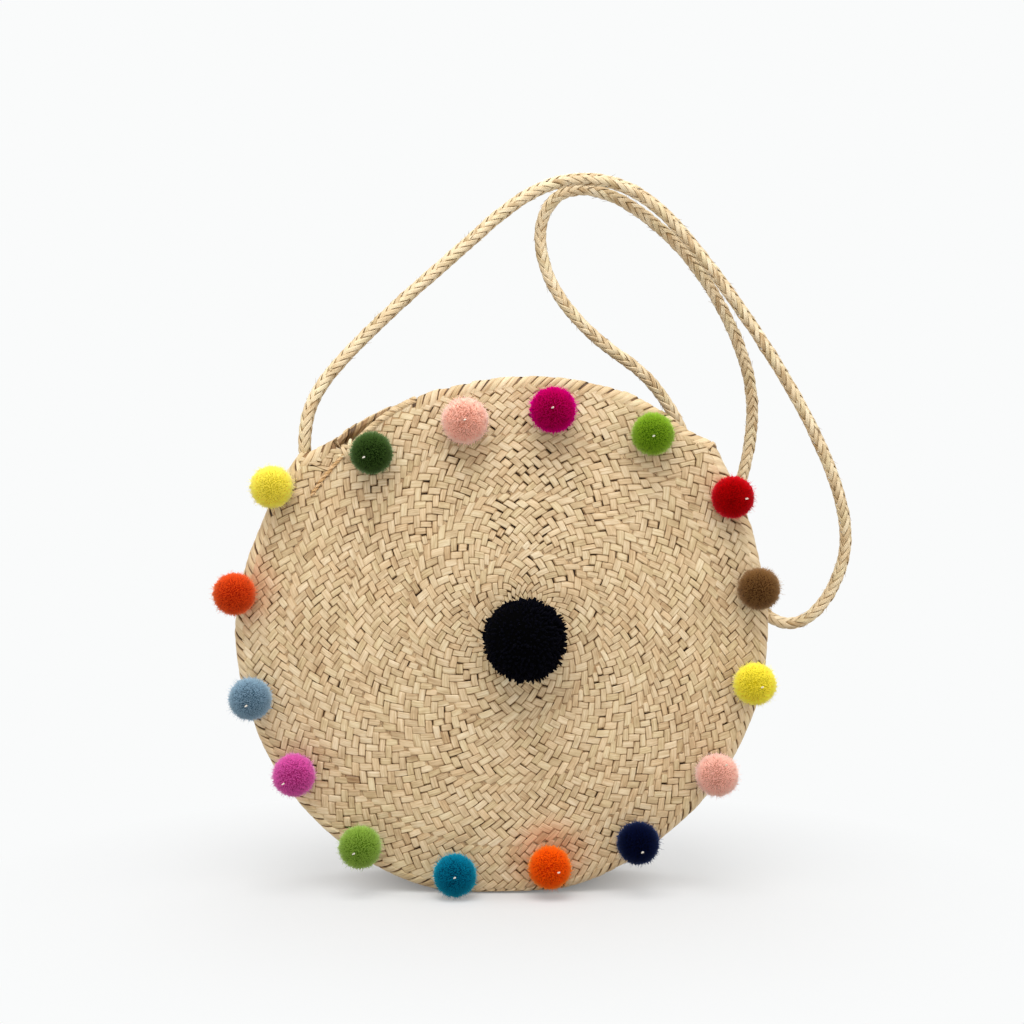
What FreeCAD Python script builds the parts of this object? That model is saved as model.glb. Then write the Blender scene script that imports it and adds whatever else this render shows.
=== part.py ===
"""Round palm-leaf shoulder bag with wool pompoms, as separate solids in one frame.

Two domed round faces, each one plait sewn in a spiral, are laced to a side wall that stops at the
mouth. A round braid is the shoulder strap, and yarn balls are tied round the front face.
Millimetres, +Z up, front towards -Y, +X to the right seen from the front. The origin lies on the
floor under the middle of the bag.
"""
import FreeCAD
import Part
import math
import os

Vector = FreeCAD.Vector

# Body of the bag
DISC_RADIUS = 200.0          # half the bag's width, to the outside of the side wall
FLOOR_FLAT_DEPTH = 5.0       # how far the round settles flat where it stands
GUSSET_WIDTH = 70.0          # side wall, from seam to seam
WALL = 4.0                   # thickness of the plaited palm
SHOULDER_RADIUS = 12.0       # the outer turn of plait rolls over towards the side wall
BULGE = 12.0                 # how far the middle of a face stands out past its shoulder

# Seams between the faces and the side wall
SEAM_CORD_WIDTH = 3.0
SEAM_CORD_PROUD = 0.8        # how far the lacing stands out of the wall, inside and outside
GUSSET_END_ANGLE = 53.0      # from the top of the disc to each upper end of the side wall

# Mouth, with places on the front face as (angle from the top of the disc, distance in from the rim)
MOUTH_HALF_ANGLE = 48.0      # from the top of the disc to each corner
LIP_DROP = 7.0               # how much flatter than the disc the lip runs at its top
LIP_EDGE_HEIGHT = 6.0        # folded selvedge along the lip
LIP_EDGE_PROUD = 0.3
SLIT_FOOT_ON_RIM = (-54.1, 26.0)     # slit between the last turn of plait and the lip
SLIT_HEAD_ON_RIM = (-40.0, 22.5)
SLIT_WIDTH = 0.8
SLACK_LIP_END_ON_RIM = (-13.3, 4.7)  # the lip runs straight and slack from the slit to here
EAR_TOP_ON_RIM = (-40.1, 10.5)       # top of the plait's tail, beside the strap's root
STITCH_WIDTH = 4.0           # raffia stitching over the slit
STITCH_THICKNESS = 1.4
STITCH_END_ROOM = 4.0        # from the stitching's end to the lip's selvedge

# Strap
STRAP_DIAMETER = 12.5
STRAP_ROOT_ANGLE = 49.0      # from the top of the disc
STRAP_ROOT_LEAN = 60.0       # round the shoulder, from the face to the side wall
STRAP_ROOT_CLEARANCE = 0.35
STRAP_SWING_ROOM = 1.25      # on both sides of the strap above its root
STRAP_SWING_DROP = 4.3       # room under the level of the root for the strap to rock
BEND_SHARE = 0.45            # part of the shorter run that a bend takes up
STRAP_ROUTE = [
    (-149, -42, 347), (-140, -39, 376), (-118, -34, 404), (-77, -27, 445), (-30, -19, 488),
    (11, -12, 527), (47, -7, 546), (86, -2, 546), (120, 3, 529), (150, 8, 498),
    (181, 16, 459), (215, 26, 410), (248, 38, 356), (273, 50, 302), (282, 60, 259),
    (271, 69, 220), (250, 77, 194), (225, 83, 193), (206, 86, 217), (193, 86, 258),
    (194, 80, 298), (204, 69, 341), (204, 56, 385), (187, 42, 431), (155, 28, 480),
    (118, 20, 516), (82, 15, 537), (52, 13, 540), (33, 13, 523), (29, 14, 494),
    (42, 17, 457), (75, 22, 421), (114, 28, 396), (138, 35, 364), (148, 40, 342),
]

# Pompoms: name, angle from the top of the disc, distance in from the rim, diameter
POMPOM_DIAMETER = 31.0
LARGE_POMPOM_DIAMETER = 33.5
POMPOMS = [
    ("pompom_yellow_left", -57.3, -1.6, POMPOM_DIAMETER),
    ("pompom_dark_green", -35.4, 35.8, POMPOM_DIAMETER),
    ("pompom_light_pink", -9.5, 40.2, LARGE_POMPOM_DIAMETER),
    ("pompom_magenta", 13.1, 29.9, LARGE_POMPOM_DIAMETER),
    ("pompom_lime", 37.2, 14.2, POMPOM_DIAMETER),
    ("pompom_red", 59.4, 0.8, POMPOM_DIAMETER),
    ("pompom_brown", 80.0, 6.5, POMPOM_DIAMETER),
    ("pompom_yellow_right", 101.0, 8.9, POMPOM_DIAMETER),
    ("pompom_rose", 123.0, 9.7, POMPOM_DIAMETER),
    ("pompom_navy", 146.6, 15.8, POMPOM_DIAMETER),
    ("pompom_orange", 168.1, 24.6, POMPOM_DIAMETER),
    ("pompom_teal", -169.2, 19.3, POMPOM_DIAMETER),
    ("pompom_green", -146.5, 11.9, POMPOM_DIAMETER),
    ("pompom_violet", -124.2, 15.5, POMPOM_DIAMETER),
    ("pompom_blue_grey", -104.4, 8.9, POMPOM_DIAMETER),
    ("pompom_orange_red", -81.4, 0.8, POMPOM_DIAMETER),
]
CENTRE_POMPOM_PLACE = (16.3, -2.6)   # across, above the disc's centre
CENTRE_POMPOM_DIAMETER = 65.0
CENTRE_POMPOM_DEPTH = 48.0   # yarn flattens against the face
CENTRE_POMPOM_SIDE_RADIUS = 16.0
POMPOM_SEAT_GAP = 0.8        # a ball can tilt on its tie without biting into the face
TIE_DIAMETER = 1.6
TIE_HOLE_DIAMETER = 2.2
TIE_PROUD = 0.3              # the tie thread shows this much at the outer face
KNOT_DIAMETER = 5.0          # the tie's knot, inside the bag
KNOT_GAP = 0.3

# Sizes that follow from those above
CENTRE_HEIGHT = DISC_RADIUS - FLOOR_FLAT_DEPTH
RIM_DEPTH = GUSSET_WIDTH / 2 + SEAM_CORD_WIDTH
SHOULDER_CENTRE = DISC_RADIUS - SHOULDER_RADIUS
DOME_RADIUS = SHOULDER_RADIUS + (SHOULDER_CENTRE ** 2 + BULGE ** 2) / (2 * BULGE)
DOME_CENTRE_DEPTH = DOME_RADIUS - SHOULDER_RADIUS - BULGE - RIM_DEPTH
DOME_LEAN = math.asin(SHOULDER_CENTRE / (DOME_RADIUS - SHOULDER_RADIUS))
MOUTH_ANGLE = math.radians(MOUTH_HALF_ANGLE)
LIP_TOP = DISC_RADIUS - LIP_DROP
LIP_RISE = LIP_TOP - DISC_RADIUS * math.cos(MOUTH_ANGLE)
LIP_HALF_CHORD = DISC_RADIUS * math.sin(MOUTH_ANGLE)
LIP_RADIUS = (LIP_HALF_CHORD ** 2 + LIP_RISE ** 2) / (2 * LIP_RISE)
LIP_CENTRE = LIP_TOP - LIP_RADIUS
STRAP_RADIUS = STRAP_DIAMETER / 2
FAR = 4 * DISC_RADIUS        # reaches past the whole bag


def at(across, above, depth=0.0):
    """A point given by its place on the round face and its depth from the bag's middle plane."""
    return Vector(across, depth, CENTRE_HEIGHT + above)


def above_level(shape, level):
    """The part of a shape that lies above a level."""
    return shape.common(Part.makeBox(2 * FAR, 2 * FAR, FAR, Vector(-FAR, -FAR, level)))


def turned(shape):
    """The same piece on the other side: half a turn about the upright axis."""
    copy = shape.copy()
    copy.rotate(Vector(0, 0, 0), Vector(0, 0, 1), 180)
    return copy


def domed_solid(offset, level):
    """The room under the front face's outer skin moved out by offset, above a level."""
    dome = DOME_RADIUS + offset
    shoulder = SHOULDER_RADIUS + offset

    def on_dome(lean):
        return Vector(dome * math.sin(lean), DOME_CENTRE_DEPTH - dome * math.cos(lean), 0)

    def on_shoulder(lean):
        return Vector(SHOULDER_CENTRE + shoulder * math.sin(lean), -RIM_DEPTH - shoulder * math.cos(lean), 0)

    side = math.pi / 2
    hub = Vector(0, -RIM_DEPTH, 0)
    edges = [
        Part.Arc(on_dome(0), on_dome(DOME_LEAN / 2), on_dome(DOME_LEAN)).toShape(),
        Part.Arc(on_dome(DOME_LEAN), on_shoulder((DOME_LEAN + side) / 2), on_shoulder(side)).toShape(),
        Part.LineSegment(on_shoulder(side), hub).toShape(),
        Part.LineSegment(hub, on_dome(0)).toShape(),
    ]
    solid = Part.Face(Part.Wire(edges)).revolve(Vector(0, 0, 0), Vector(0, 1, 0), 360)
    solid.translate(at(0, 0))
    return above_level(solid, level)


def front_shell(inside, outside):
    """A domed shell between two offsets from the front face's outer skin, flat at the floor."""
    return domed_solid(outside, 0.0).cut(domed_solid(inside, -inside))


def front_prism(edges):
    """A closed outline on the front face, drawn through the whole front half of the bag."""
    face = Part.Face(Part.Wire(edges))
    return face.extrude(Vector(0, -FAR, 0))


def lines(points):
    """Straight edges from point to point of the face plane."""
    return [Part.LineSegment(at(*a), at(*b)).toShape() for a, b in zip(points, points[1:])]


def lip_point(radius, angle):
    """A point on a lip arc of a given radius, with the angle taken from the top."""
    return radius * math.sin(angle), LIP_CENTRE + radius * math.cos(angle)


def lip_arc(radius, start, end):
    """The edge of a lip arc between two of its points."""
    angles = [math.atan2(p[0], p[1] - LIP_CENTRE) for p in (start, end)]
    return Part.Arc(at(*start), at(*lip_point(radius, sum(angles) / 2)), at(*end)).toShape()


def meets_lip(start, direction, radius):
    """Where a line on the face plane leaves the lip arc of a given radius."""
    across, above = start[0], start[1] - LIP_CENTRE
    along = across * direction[0] + above * direction[1]
    reach = -along + math.sqrt(along ** 2 - across ** 2 - above ** 2 + radius ** 2)
    return start[0] + reach * direction[0], start[1] + reach * direction[1]


def towards(start, end):
    """The direction on the face plane from one point to another."""
    span = math.dist(start, end)
    return (end[0] - start[0]) / span, (end[1] - start[1]) / span


def shifted(point, direction, distance):
    """A point on the face plane moved along a direction."""
    return point[0] + distance * direction[0], point[1] + distance * direction[1]


def rim_place(angle, inset):
    """A place on the face plane, by its angle from the top and its distance in from the rim."""
    spread = DISC_RADIUS - inset
    return spread * math.sin(math.radians(angle)), spread * math.cos(math.radians(angle))


SLIT_FOOT = rim_place(*SLIT_FOOT_ON_RIM)
SLIT_HEAD = rim_place(*SLIT_HEAD_ON_RIM)
EAR_TOP = rim_place(*EAR_TOP_ON_RIM)
SLACK = towards(SLIT_HEAD, rim_place(*SLACK_LIP_END_ON_RIM))
SLACK_INWARD = (SLACK[1], -SLACK[0])
CORNER_WAY = (math.sin(MOUTH_ANGLE), math.cos(MOUTH_ANGLE))
INNER_LIP_RADIUS = LIP_RADIUS - LIP_EDGE_HEIGHT
LIP_START = shifted(SLIT_HEAD, SLACK_INWARD, LIP_EDGE_HEIGHT)
LIP_BEND = meets_lip(SLIT_HEAD, SLACK, LIP_RADIUS)
INNER_LIP_BEND = meets_lip(LIP_START, SLACK, INNER_LIP_RADIUS)
LIP_CORNER = meets_lip((0.0, 0.0), CORNER_WAY, LIP_RADIUS)
INNER_LIP_CORNER = meets_lip((0.0, 0.0), CORNER_WAY, INNER_LIP_RADIUS)


def strap_root():
    """Where the strap is rooted in the front face, half way through the wall of the shoulder."""
    lean = math.radians(STRAP_ROOT_LEAN)
    angle = math.radians(STRAP_ROOT_ANGLE)
    middle = SHOULDER_RADIUS - WALL / 2
    spread = SHOULDER_CENTRE + middle * math.sin(lean)
    return at(-spread * math.sin(angle), spread * math.cos(angle), -RIM_DEPTH - middle * math.cos(lean))


def strap_axis():
    """The direction from one root of the strap to the other, about which it rocks."""
    root = strap_root()
    return Vector(-root.x, -root.y, 0).normalize()


def strap_socket():
    """The room that the strap's rounded root and its first stretch need as it rocks."""
    root = strap_root()
    ball = Part.makeSphere(STRAP_RADIUS + STRAP_ROOT_CLEARANCE, root)
    half_width = STRAP_RADIUS + STRAP_SWING_ROOM
    reach = 2 * STRAP_DIAMETER
    room = Part.makeBox(2 * half_width, 2 * reach, FAR, Vector(-half_width, -reach, -STRAP_SWING_DROP))
    room.Placement = FreeCAD.Placement(root, FreeCAD.Rotation(Vector(1, 0, 0), strap_axis()))
    return ball.fuse(room)


def mouth_opening():
    """Everything above the front face's woven edge: the lip's selvedge, the mouth and the ear's top."""
    root = strap_root()
    root_place = (root.x, root.z - CENTRE_HEIGHT)
    border = lines([
        INNER_LIP_CORNER, shifted((0.0, 0.0), CORNER_WAY, FAR), (0.0, 2 * FAR), (-FAR, root_place[1]),
        root_place, EAR_TOP, SLIT_HEAD, LIP_START, INNER_LIP_BEND,
    ])
    return front_prism(border + [lip_arc(INNER_LIP_RADIUS, INNER_LIP_BEND, INNER_LIP_CORNER)])


def slit_strip(width, start_room, end_room):
    """A strip along the slit, drawn through the front half of the bag."""
    way = towards(SLIT_FOOT, SLIT_HEAD)
    side = (way[1], -way[0])
    foot = shifted(SLIT_FOOT, way, start_room)
    head = shifted(SLIT_HEAD, way, -end_room)
    corners = [shifted(p, side, w) for p, w in
               ((foot, -width / 2), (head, -width / 2), (head, width / 2), (foot, width / 2))]
    return front_prism(lines(corners + corners[:1]))


def ball_seat(across, above, reach):
    """Foot on the front face and outward normal for a ball whose centre is reach out from the face."""
    spread = math.hypot(across, above)
    dome_lean = spread / (DOME_RADIUS + reach)
    shoulder_lean = (spread - SHOULDER_CENTRE) / (SHOULDER_RADIUS + reach)
    lean = math.asin(max(dome_lean, shoulder_lean))
    if shoulder_lean > dome_lean:
        depth = -RIM_DEPTH - SHOULDER_RADIUS * math.cos(lean)
    else:
        depth = DOME_CENTRE_DEPTH - DOME_RADIUS * math.cos(lean)
    foot_share = 1 - reach * math.sin(lean) / spread
    foot = at(across * foot_share, above * foot_share, depth)
    normal = Vector(across / spread * math.sin(lean), -math.cos(lean), above / spread * math.sin(lean))
    return foot, normal


def pompom_seats():
    """Name, foot, normal, diameter and depth of every pompom."""
    places = [(name, *rim_place(angle, inset), size, size) for name, angle, inset, size in POMPOMS]
    places.append(("pompom_centre", *CENTRE_POMPOM_PLACE, CENTRE_POMPOM_DIAMETER, CENTRE_POMPOM_DEPTH))
    seats = []
    for name, across, above, diameter, depth in places:
        foot, normal = ball_seat(across, above, depth / 2 + POMPOM_SEAT_GAP)
        seats.append((name, foot, normal, diameter, depth))
    return seats


def front_panel(tie_holes):
    """One round face with its slit, its ear at the strap's root and, on the front, the tie holes."""
    shell = front_shell(-WALL, 0.0).cut(mouth_opening())
    shell = shell.cut(slit_strip(SLIT_WIDTH, 0.0, 0.0)).cut(strap_socket())
    if tie_holes:
        drills = []
        for _, foot, normal, _, _ in pompom_seats():
            start = foot + normal * WALL
            drills.append(Part.makeCylinder(TIE_HOLE_DIAMETER / 2, 3 * WALL, start, -normal))
        shell = shell.cut(drills)
    return shell


def front_lip_edge():
    """The folded selvedge along the lip, from the slit to the far corner of the mouth."""
    border = lines([INNER_LIP_CORNER, LIP_CORNER])
    border += [lip_arc(LIP_RADIUS, LIP_CORNER, LIP_BEND)]
    border += lines([LIP_BEND, SLIT_HEAD, LIP_START, INNER_LIP_BEND])
    border += [lip_arc(INNER_LIP_RADIUS, INNER_LIP_BEND, INNER_LIP_CORNER)]
    return front_shell(-WALL - LIP_EDGE_PROUD, LIP_EDGE_PROUD).common(front_prism(border))


def front_stitching():
    """Raffia stitching that closes the slit, lying on the outside of the face."""
    shell = domed_solid(STITCH_THICKNESS, 0.0).cut(domed_solid(0.0, 0.0))
    return shell.common(slit_strip(STITCH_WIDTH, 0.0, STITCH_END_ROOM))


def round_wall(outer, inner, start, width):
    """A band round the bag between two radii, flat where it stands and open at the mouth."""
    origin = at(0, 0, start)
    across = Vector(0, 1, 0)
    band = above_level(Part.makeCylinder(outer, width, origin, across), 0.0)
    hollow = above_level(Part.makeCylinder(inner, width, origin, across), DISC_RADIUS - inner)
    end_angle = math.radians(GUSSET_END_ANGLE)
    corner = (FAR * math.sin(end_angle), FAR * math.cos(end_angle))
    mouth = Part.Face(Part.Wire(lines([(0.0, 0.0), corner, (-corner[0], corner[1]), (0.0, 0.0)])))
    mouth.translate(Vector(0, -FAR, 0))
    return band.cut(hollow).cut(mouth.extrude(Vector(0, 2 * FAR, 0)))


def gusset_band():
    """The side wall, from one corner of the mouth round the floor to the other."""
    wall = round_wall(DISC_RADIUS, DISC_RADIUS - WALL, -GUSSET_WIDTH / 2, GUSSET_WIDTH)
    return wall.cut([strap_socket(), turned(strap_socket())])


def front_seam_cord():
    """Lacing that joins the front face to the side wall."""
    cord = round_wall(DISC_RADIUS + SEAM_CORD_PROUD, DISC_RADIUS - WALL - SEAM_CORD_PROUD,
                      -RIM_DEPTH, SEAM_CORD_WIDTH)
    return cord.cut(strap_socket())


def bent_path(points):
    """Straight runs joined by tangent arcs, with the arcs' radii."""
    edges, radii = [], []
    last = points[0]
    for before, corner, after in zip(points, points[1:], points[2:]):
        back, on = before - corner, after - corner
        turn = math.pi - back.getAngle(on)
        taken = BEND_SHARE * min(back.Length, on.Length)
        radius = taken / math.tan(turn / 2)
        start = corner + back.normalize() * taken
        end = corner + on.normalize() * taken
        inward = (back + on).normalize()
        middle = corner + inward * (math.hypot(taken, radius) - radius)
        edges += [Part.LineSegment(last, start).toShape(), Part.Arc(start, middle, end).toShape()]
        radii.append(radius)
        last = end
    edges.append(Part.LineSegment(last, points[-1]).toShape())
    return Part.Wire(edges), radii


def strap():
    """The round braid: a tube along its route, with a rounded root at each end."""
    root = strap_root()
    far_root = Vector(-root.x, -root.y, root.z)
    points = [root] + [Vector(*p) for p in STRAP_ROUTE] + [far_root]
    path, radii = bent_path(points)
    ring = Part.Wire(Part.Circle(points[0], points[1] - points[0], STRAP_RADIUS).toShape())
    tube = path.makePipeShell([ring], True, False)
    section = math.pi * STRAP_RADIUS ** 2
    print("strap length", round(path.Length, 1), "mm, radii", [round(r) for r in radii])
    print("strap volume against section times length", round(tube.Volume / (section * path.Length), 4))
    for end, inner in ((points[0], points[1]), (points[-1], points[-2])):
        tube = tube.fuse(Part.makeSphere(STRAP_RADIUS, end, end - inner, 0, 90, 360))
    return tube


def flattened_ball(diameter, depth, side_radius):
    """A ball flattened along Y: two shallow crowns that run into a rounder side."""
    half = depth / 2
    side_centre = diameter / 2 - side_radius
    crown_radius = (side_centre ** 2 + half ** 2 - side_radius ** 2) / (2 * (half - side_radius))
    lean = math.asin(side_centre / (crown_radius - side_radius))
    crown_depth = crown_radius - half

    def on_crown(angle, way):
        return Vector(crown_radius * math.sin(angle), way * (crown_depth - crown_radius * math.cos(angle)), 0)

    front, back = on_crown(0, 1), on_crown(0, -1)
    side = Vector(diameter / 2, 0, 0)
    edges = [
        Part.Arc(front, on_crown(lean / 2, 1), on_crown(lean, 1)).toShape(),
        Part.Arc(on_crown(lean, 1), side, on_crown(lean, -1)).toShape(),
        Part.Arc(on_crown(lean, -1), on_crown(lean / 2, -1), back).toShape(),
        Part.LineSegment(back, front).toShape(),
    ]
    return Part.Face(Part.Wire(edges)).revolve(Vector(0, 0, 0), Vector(0, 1, 0), 360)


def pompom(foot, normal, diameter, depth):
    """A yarn ball in front of its foot, as deep along the normal as given."""
    centre = foot + normal * (depth / 2 + POMPOM_SEAT_GAP)
    if depth == diameter:
        return Part.makeSphere(diameter / 2, centre)
    ball = flattened_ball(diameter, depth, CENTRE_POMPOM_SIDE_RADIUS)
    ball.Placement = FreeCAD.Placement(centre, FreeCAD.Rotation(Vector(0, -1, 0), normal))
    return ball


def pompom_ties():
    """One tie for each pompom: thread through the face, knotted inside the bag."""
    ties = []
    for _, foot, normal, _, _ in pompom_seats():
        knot_face = foot - normal * (WALL + KNOT_GAP)
        start = knot_face - normal * (KNOT_DIAMETER / 4)
        length = WALL + KNOT_GAP + KNOT_DIAMETER / 4 + TIE_PROUD
        thread = Part.makeCylinder(TIE_DIAMETER / 2, length, start, normal)
        knot = Part.makeSphere(KNOT_DIAMETER / 2, knot_face - normal * (KNOT_DIAMETER / 2))
        ties.append(thread.fuse(knot))
    return Part.makeCompound(ties)


def all_pieces():
    """Every node by name."""
    pieces = {
        "front_panel": front_panel(True),
        "back_panel": turned(front_panel(False)),
        "gusset_band": gusset_band(),
        "front_seam_cord": front_seam_cord(),
        "back_seam_cord": turned(front_seam_cord()),
        "front_lip_edge": front_lip_edge(),
        "back_lip_edge": turned(front_lip_edge()),
        "front_corner_stitching": front_stitching(),
        "back_corner_stitching": turned(front_stitching()),
        "strap": strap(),
        "pompom_ties": pompom_ties(),
    }
    for name, foot, normal, diameter, depth in pompom_seats():
        pieces[name] = pompom(foot, normal, diameter, depth)
    return pieces


os.makedirs("parts", exist_ok=True)
PIECES = all_pieces()
for piece_name, piece in PIECES.items():
    print(piece_name, len(piece.Solids), "solid", piece.isValid(), round(piece.Volume / 1000, 1), "cm3")
    piece.exportStep(f"parts/{piece_name}.step")
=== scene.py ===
"""Looks of a round palm-leaf shoulder bag: plaited faces, braided strap and wool pompoms.

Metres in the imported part's frame: +Z up, the front face towards -Y, +X to the right as seen from the front.
Lengths that come from the woven object are written in millimetres and become metres where a mesh is made.
"""
import math

import bpy
import numpy as np
from mathutils import Matrix, Vector


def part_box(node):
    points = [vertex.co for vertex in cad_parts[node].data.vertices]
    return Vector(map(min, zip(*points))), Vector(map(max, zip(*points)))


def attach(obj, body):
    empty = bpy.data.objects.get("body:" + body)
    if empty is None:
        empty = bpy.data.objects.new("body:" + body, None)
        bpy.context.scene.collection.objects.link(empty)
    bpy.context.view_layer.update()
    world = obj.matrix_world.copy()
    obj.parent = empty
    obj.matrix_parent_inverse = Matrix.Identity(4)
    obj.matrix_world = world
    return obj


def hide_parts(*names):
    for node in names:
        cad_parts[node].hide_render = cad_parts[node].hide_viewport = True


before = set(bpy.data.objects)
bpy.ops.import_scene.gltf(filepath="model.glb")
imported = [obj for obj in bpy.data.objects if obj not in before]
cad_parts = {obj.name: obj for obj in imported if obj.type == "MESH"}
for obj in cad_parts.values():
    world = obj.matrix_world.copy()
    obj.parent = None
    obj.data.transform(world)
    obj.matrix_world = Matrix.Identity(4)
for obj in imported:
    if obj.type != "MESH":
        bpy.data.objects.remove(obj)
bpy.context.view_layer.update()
MM = 0.001

# Form of the bag, in mm: two domed discs with a rounded shoulder, joined by a side wall
DISC_RADIUS = 200.0
CENTRE_HEIGHT = 195.0
RIM_DEPTH = 38.0
SHOULDER_RADIUS = 12.0
SHOULDER_CENTRE = DISC_RADIUS - SHOULDER_RADIUS
DOME_RADIUS = 1490.7
DOME_CENTRE_DEPTH = 1428.7
DOME_LEAN = 0.1275
DOME_REACH = DOME_RADIUS * DOME_LEAN
RIM_REACH = DOME_REACH + SHOULDER_RADIUS * (math.pi / 2 - DOME_LEAN)
SIDE_WALL_WIDTH = 70.0
SIDE_WALL_END = 53.0        # degrees from the top of the disc to each upper end of the wall
FLOOR_EASE = 1.0            # how softly the round flattens where it stands

# Edge of the front face, in mm from the disc's centre and in degrees clockwise from its top
LIP_TOP = 193.0
LIP_END_ANGLE = 48.0
SLIT_HEAD = (-114.0, 136.0)
SLIT_FOOT = (-141.0, 102.0)
SLACK_LIP_END = (-45.0, 190.0)
SLACK_LIP_ARCH = 5.5
EAR_TOP = (-122.0, 145.0)
EAR_FOOT_ANGLE = 311.0

# Spiral of plait: its middle on the disc, its start and its rise a turn in mm, and its turns
SPIRAL_MIDDLE = (16.3, 12.4)
SPIRAL_START = 5.4
SPIRAL_RISE = 43.6
SPIRAL_FIRST_TURN = 0.08
SPIRAL_TURNS = 4.871
TAIL_BEARING = 285 / 360    # share of a turn where the plait's tail begins to leave the rim
EDGE_TURN = SPIRAL_TURNS - 0.945    # from here the plait lies along the face's edge

# Plait: columns of leaf, pitch and thickness of the strips in mm, and the level of its inner side
PLAIT_COLUMNS = 7
WALL_COLUMNS = 11
LEAF_PITCH = 7.9
LEAF_THICKNESS = 0.55
INNER_LEVEL = -3.3
LOOSE_SPOT = (8.0, 305.0)   # across and height, where the plait is loosest
LOOSE_REACH = 75.0
WALL_LEAVES = int(DISC_RADIUS * math.radians(360 - 2 * SIDE_WALL_END) / LEAF_PITCH)

# One strip: places along and across it, in half lengths and half widths, and its lift there in mm
STRIP_ALONG = np.array([-1.2, -1.0, -0.8, 0.0, 0.8, 1.0, 1.2])
STRIP_DIVE = np.array([-1.5, -0.6, 0.14, 0.34, 0.14, -0.6, -1.5])
STRIP_ACROSS = np.array([-1.0, -0.8, 0.0, 0.8, 1.0])
STRIP_EDGE = np.array([-0.42, -0.03, 0.06, -0.03, -0.42])

# Tint of the leaf from 0, light, to 1, dark: its middle and its spread, and painted shade added where strips
# sink, on strip undersides, on edging strips' sides and where braid strands pass under others
PLAIT_TINT = 0.355
STRAND_SPREAD = 0.042
LEAF_SPREAD = 0.038
SUNK_PAINTED_SHADE = 0.5
UNDERSIDE_PAINTED_SHADE = 0.2
EDGING_TINT = 0.29
EDGING_SPREAD = 0.08
EDGING_SIDE_PAINTED_SHADE = 0.40
BRAID_TINT = 0.36
BRAID_UNDER_PAINTED_SHADE = 0.34

# Selvedge: slant and thickness of its strips, and sections of the edges as (distance in, lift) in mm
SELVEDGE_SLANT = 50.0
SELVEDGE_THICKNESS = 0.7
LIP_PATH = [(11.5, -0.7), (9.5, 0.3), (6.0, 0.7), (2.2, 0.85), (0.4, 0.3), (-0.5, -1.2), (-0.3, -3.0),
            (1.0, -4.4), (4.0, -4.8), (8.0, -4.4)]
RIM_PATH = [(15.0, -0.9), (13.0, 0.3), (9.0, 0.6), (5.0, 0.7), (0.0, 0.7), (-2.4, 0.4), (-3.6, -0.1),
            (-4.4, -0.9)]
LIP_FILLING = [(11.0, -1.4), (6.0, -0.1), (2.4, 0.0), (1.2, -0.6), (0.7, -1.7), (0.8, -2.9), (1.8, -3.6),
               (4.0, -4.0), (7.5, -3.7)]
RIM_FILLING = [(14.5, -1.7), (12.0, -0.8), (6.0, -0.5), (0.0, -0.4), (-2.5, -0.5), (-4.6, -1.6)]

# How far the hand-shaped edge leaves the drawn circle, in mm by degrees clockwise from the top of the disc
SIDE_PULL = [(0, -2.3), (16, 4.3), (30, 9.0), (43, 8.5), (48.5, 14.5), (53, 10.0), (57, 8.0), (75, 1.5),
             (100, 0.5), (140, -3.5), (190, 0.0), (250, -2.0), (270, 0.0), (294, -2.5), (311, 2.5)]
FRONT_PULL = SIDE_PULL + [(330, -1.0), (348, -6.0), (360, -2.3)]
BACK_PULL = SIDE_PULL + [(328, 3.0), (346, -1.0), (360, -2.3)]

# Strap: middle line of the braid in mm, from its left root round the hanging loop to its right root
STRAP_ROUTE = [
    (-147.5, -39, 322), (-149, -41, 347), (-140, -39, 376), (-118, -34, 404), (-77, -27, 445),
    (-30, -19, 487.5), (11, -12, 525.5), (47, -7, 543.5), (86, -2, 543.5), (119, 3, 527),
    (148.4, 8, 496.4), (179.4, 16, 458.2), (214.3, 26, 409.8), (248, 38, 356), (273, 50, 302),
    (282, 60, 259), (271, 69, 220), (250, 77, 194), (225, 83, 193), (206, 86, 217),
    (193, 86, 258), (194, 80, 298), (204, 69, 341), (204, 56, 385), (187, 42, 431.5),
    (156, 28, 481), (118.5, 20, 517), (82.5, 15, 537.5), (52, 13, 540), (33, 13, 523),
    (29, 14, 494), (42, 17, 457), (75, 22, 421), (114, 28, 396), (138, 35, 364),
    (148, 40, 342), (148.4, 45, 318)]
BRAID_LEAD = 48.0
BRAID_RADIUS = 3.75
BRAID_WAVE = 0.72           # how far a strand rises over and dips under those that cross it
BRAID_STRANDS = 6           # that wind each way
STRAND_HALF_WIDTH = 1.76
STRAND_HALF_THICKNESS = 0.58
STRAP_FIBRES = 480
FIBRE_ROOT = 4.3

# Wool of each pompom: yarn colour in sRGB, and where the end of its tie thread shows, in mm from its middle
POMPOM_WOOL = {
    "yellow_left": ("F0DE4F", None),
    "dark_green": ("31471B", (-4.5, -3.6)),
    "light_pink": ("EFB39E", (0.4, -0.3)),
    "magenta": ("A7004B", (-0.8, 0.6)),
    "lime": ("70921C", (-0.8, -2.2)),
    "red": ("A70104", (8.7, -1.4)),
    "brown": ("6E4D2A", None),
    "yellow_right": ("EDDB3F", (3.2, -1.0)),
    "rose": ("EAB2A0", (5.3, 9.0)),
    "navy": ("040A28", (2.0, -4.0)),
    "orange": ("E45204", (6.2, -0.8)),
    "teal": ("016682", (0.3, 1.4)),
    "green": ("7A9839", (-3.4, -2.0)),
    "violet": ("C54C95", (-6.2, -4.5)),
    "blue_grey": ("748E9F", (-0.6, -3.6)),
    "orange_red": ("CC4112", None),
    "centre": ("030308", None)}
SHARED_WOOL = {"yellow_left": "yellow", "yellow_right": "yellow", "centre": "black"}
SMALL_POMPOM = 31.0         # diameter of the small balls of yarn before they are fitted
YARN_SHARES = (0.88, 0.95, 1.0)
CORE_SHARE = 0.915          # of a pompom's radius

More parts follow.
